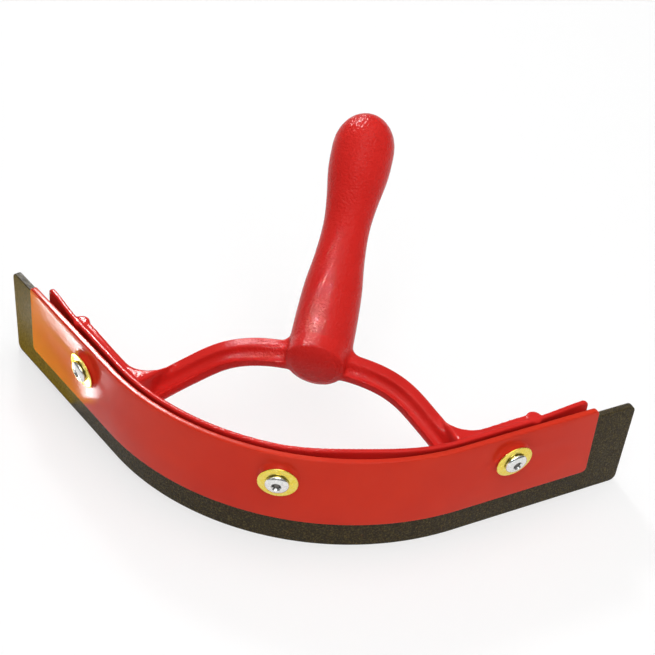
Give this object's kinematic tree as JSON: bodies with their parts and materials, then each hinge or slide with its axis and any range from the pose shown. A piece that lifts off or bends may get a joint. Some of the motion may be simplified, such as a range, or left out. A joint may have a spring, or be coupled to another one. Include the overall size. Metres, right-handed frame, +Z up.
{
  "type": "sweat scraper",
  "caption": "Horse sweat scraper: a moulded grip with a forked yoke on a bowed plate, and a rubber blade clamped to its front by a riveted strip.",
  "frame": {"origin": "middle of the underside of the whole part's box, on the floor that the rubber edge stands on", "axes": "+X along the blade to the right seen from the strip's side, +Y from the strip back towards the grip, +Z up from the rubber edge"},
  "size_m": [0.2734, 0.1298, 0.1338],
  "materials": {
    "red_plastic": "moulded red plastic with a fine grain",
    "red_strip_plastic": "smooth glossy red plastic strip",
    "black_rubber": "matte black sheet rubber",
    "brass_washer": "bright stamped washer",
    "rivet_alloy": "bright blind rivet",
    "mandrel_steel": "dull broken steel stem",
    "zinc_washer": "zinc plated washer"
  },
  "bodies": {
    "root": {"frame": "red_plastic", "clamp_strip": "red_strip_plastic", "rubber_blade": "black_rubber", "front_washer_left": "brass_washer", "front_washer_centre": "brass_washer", "front_washer_right": "brass_washer", "rivet_left": "rivet_alloy", "rivet_centre": "rivet_alloy", "rivet_right": "rivet_alloy", "mandrel_left": "mandrel_steel", "mandrel_centre": "mandrel_steel", "mandrel_right": "mandrel_steel", "rear_washer_left": "zinc_washer", "rear_washer_centre": "zinc_washer", "rear_washer_right": "zinc_washer"}
  },
  "joints": []
}
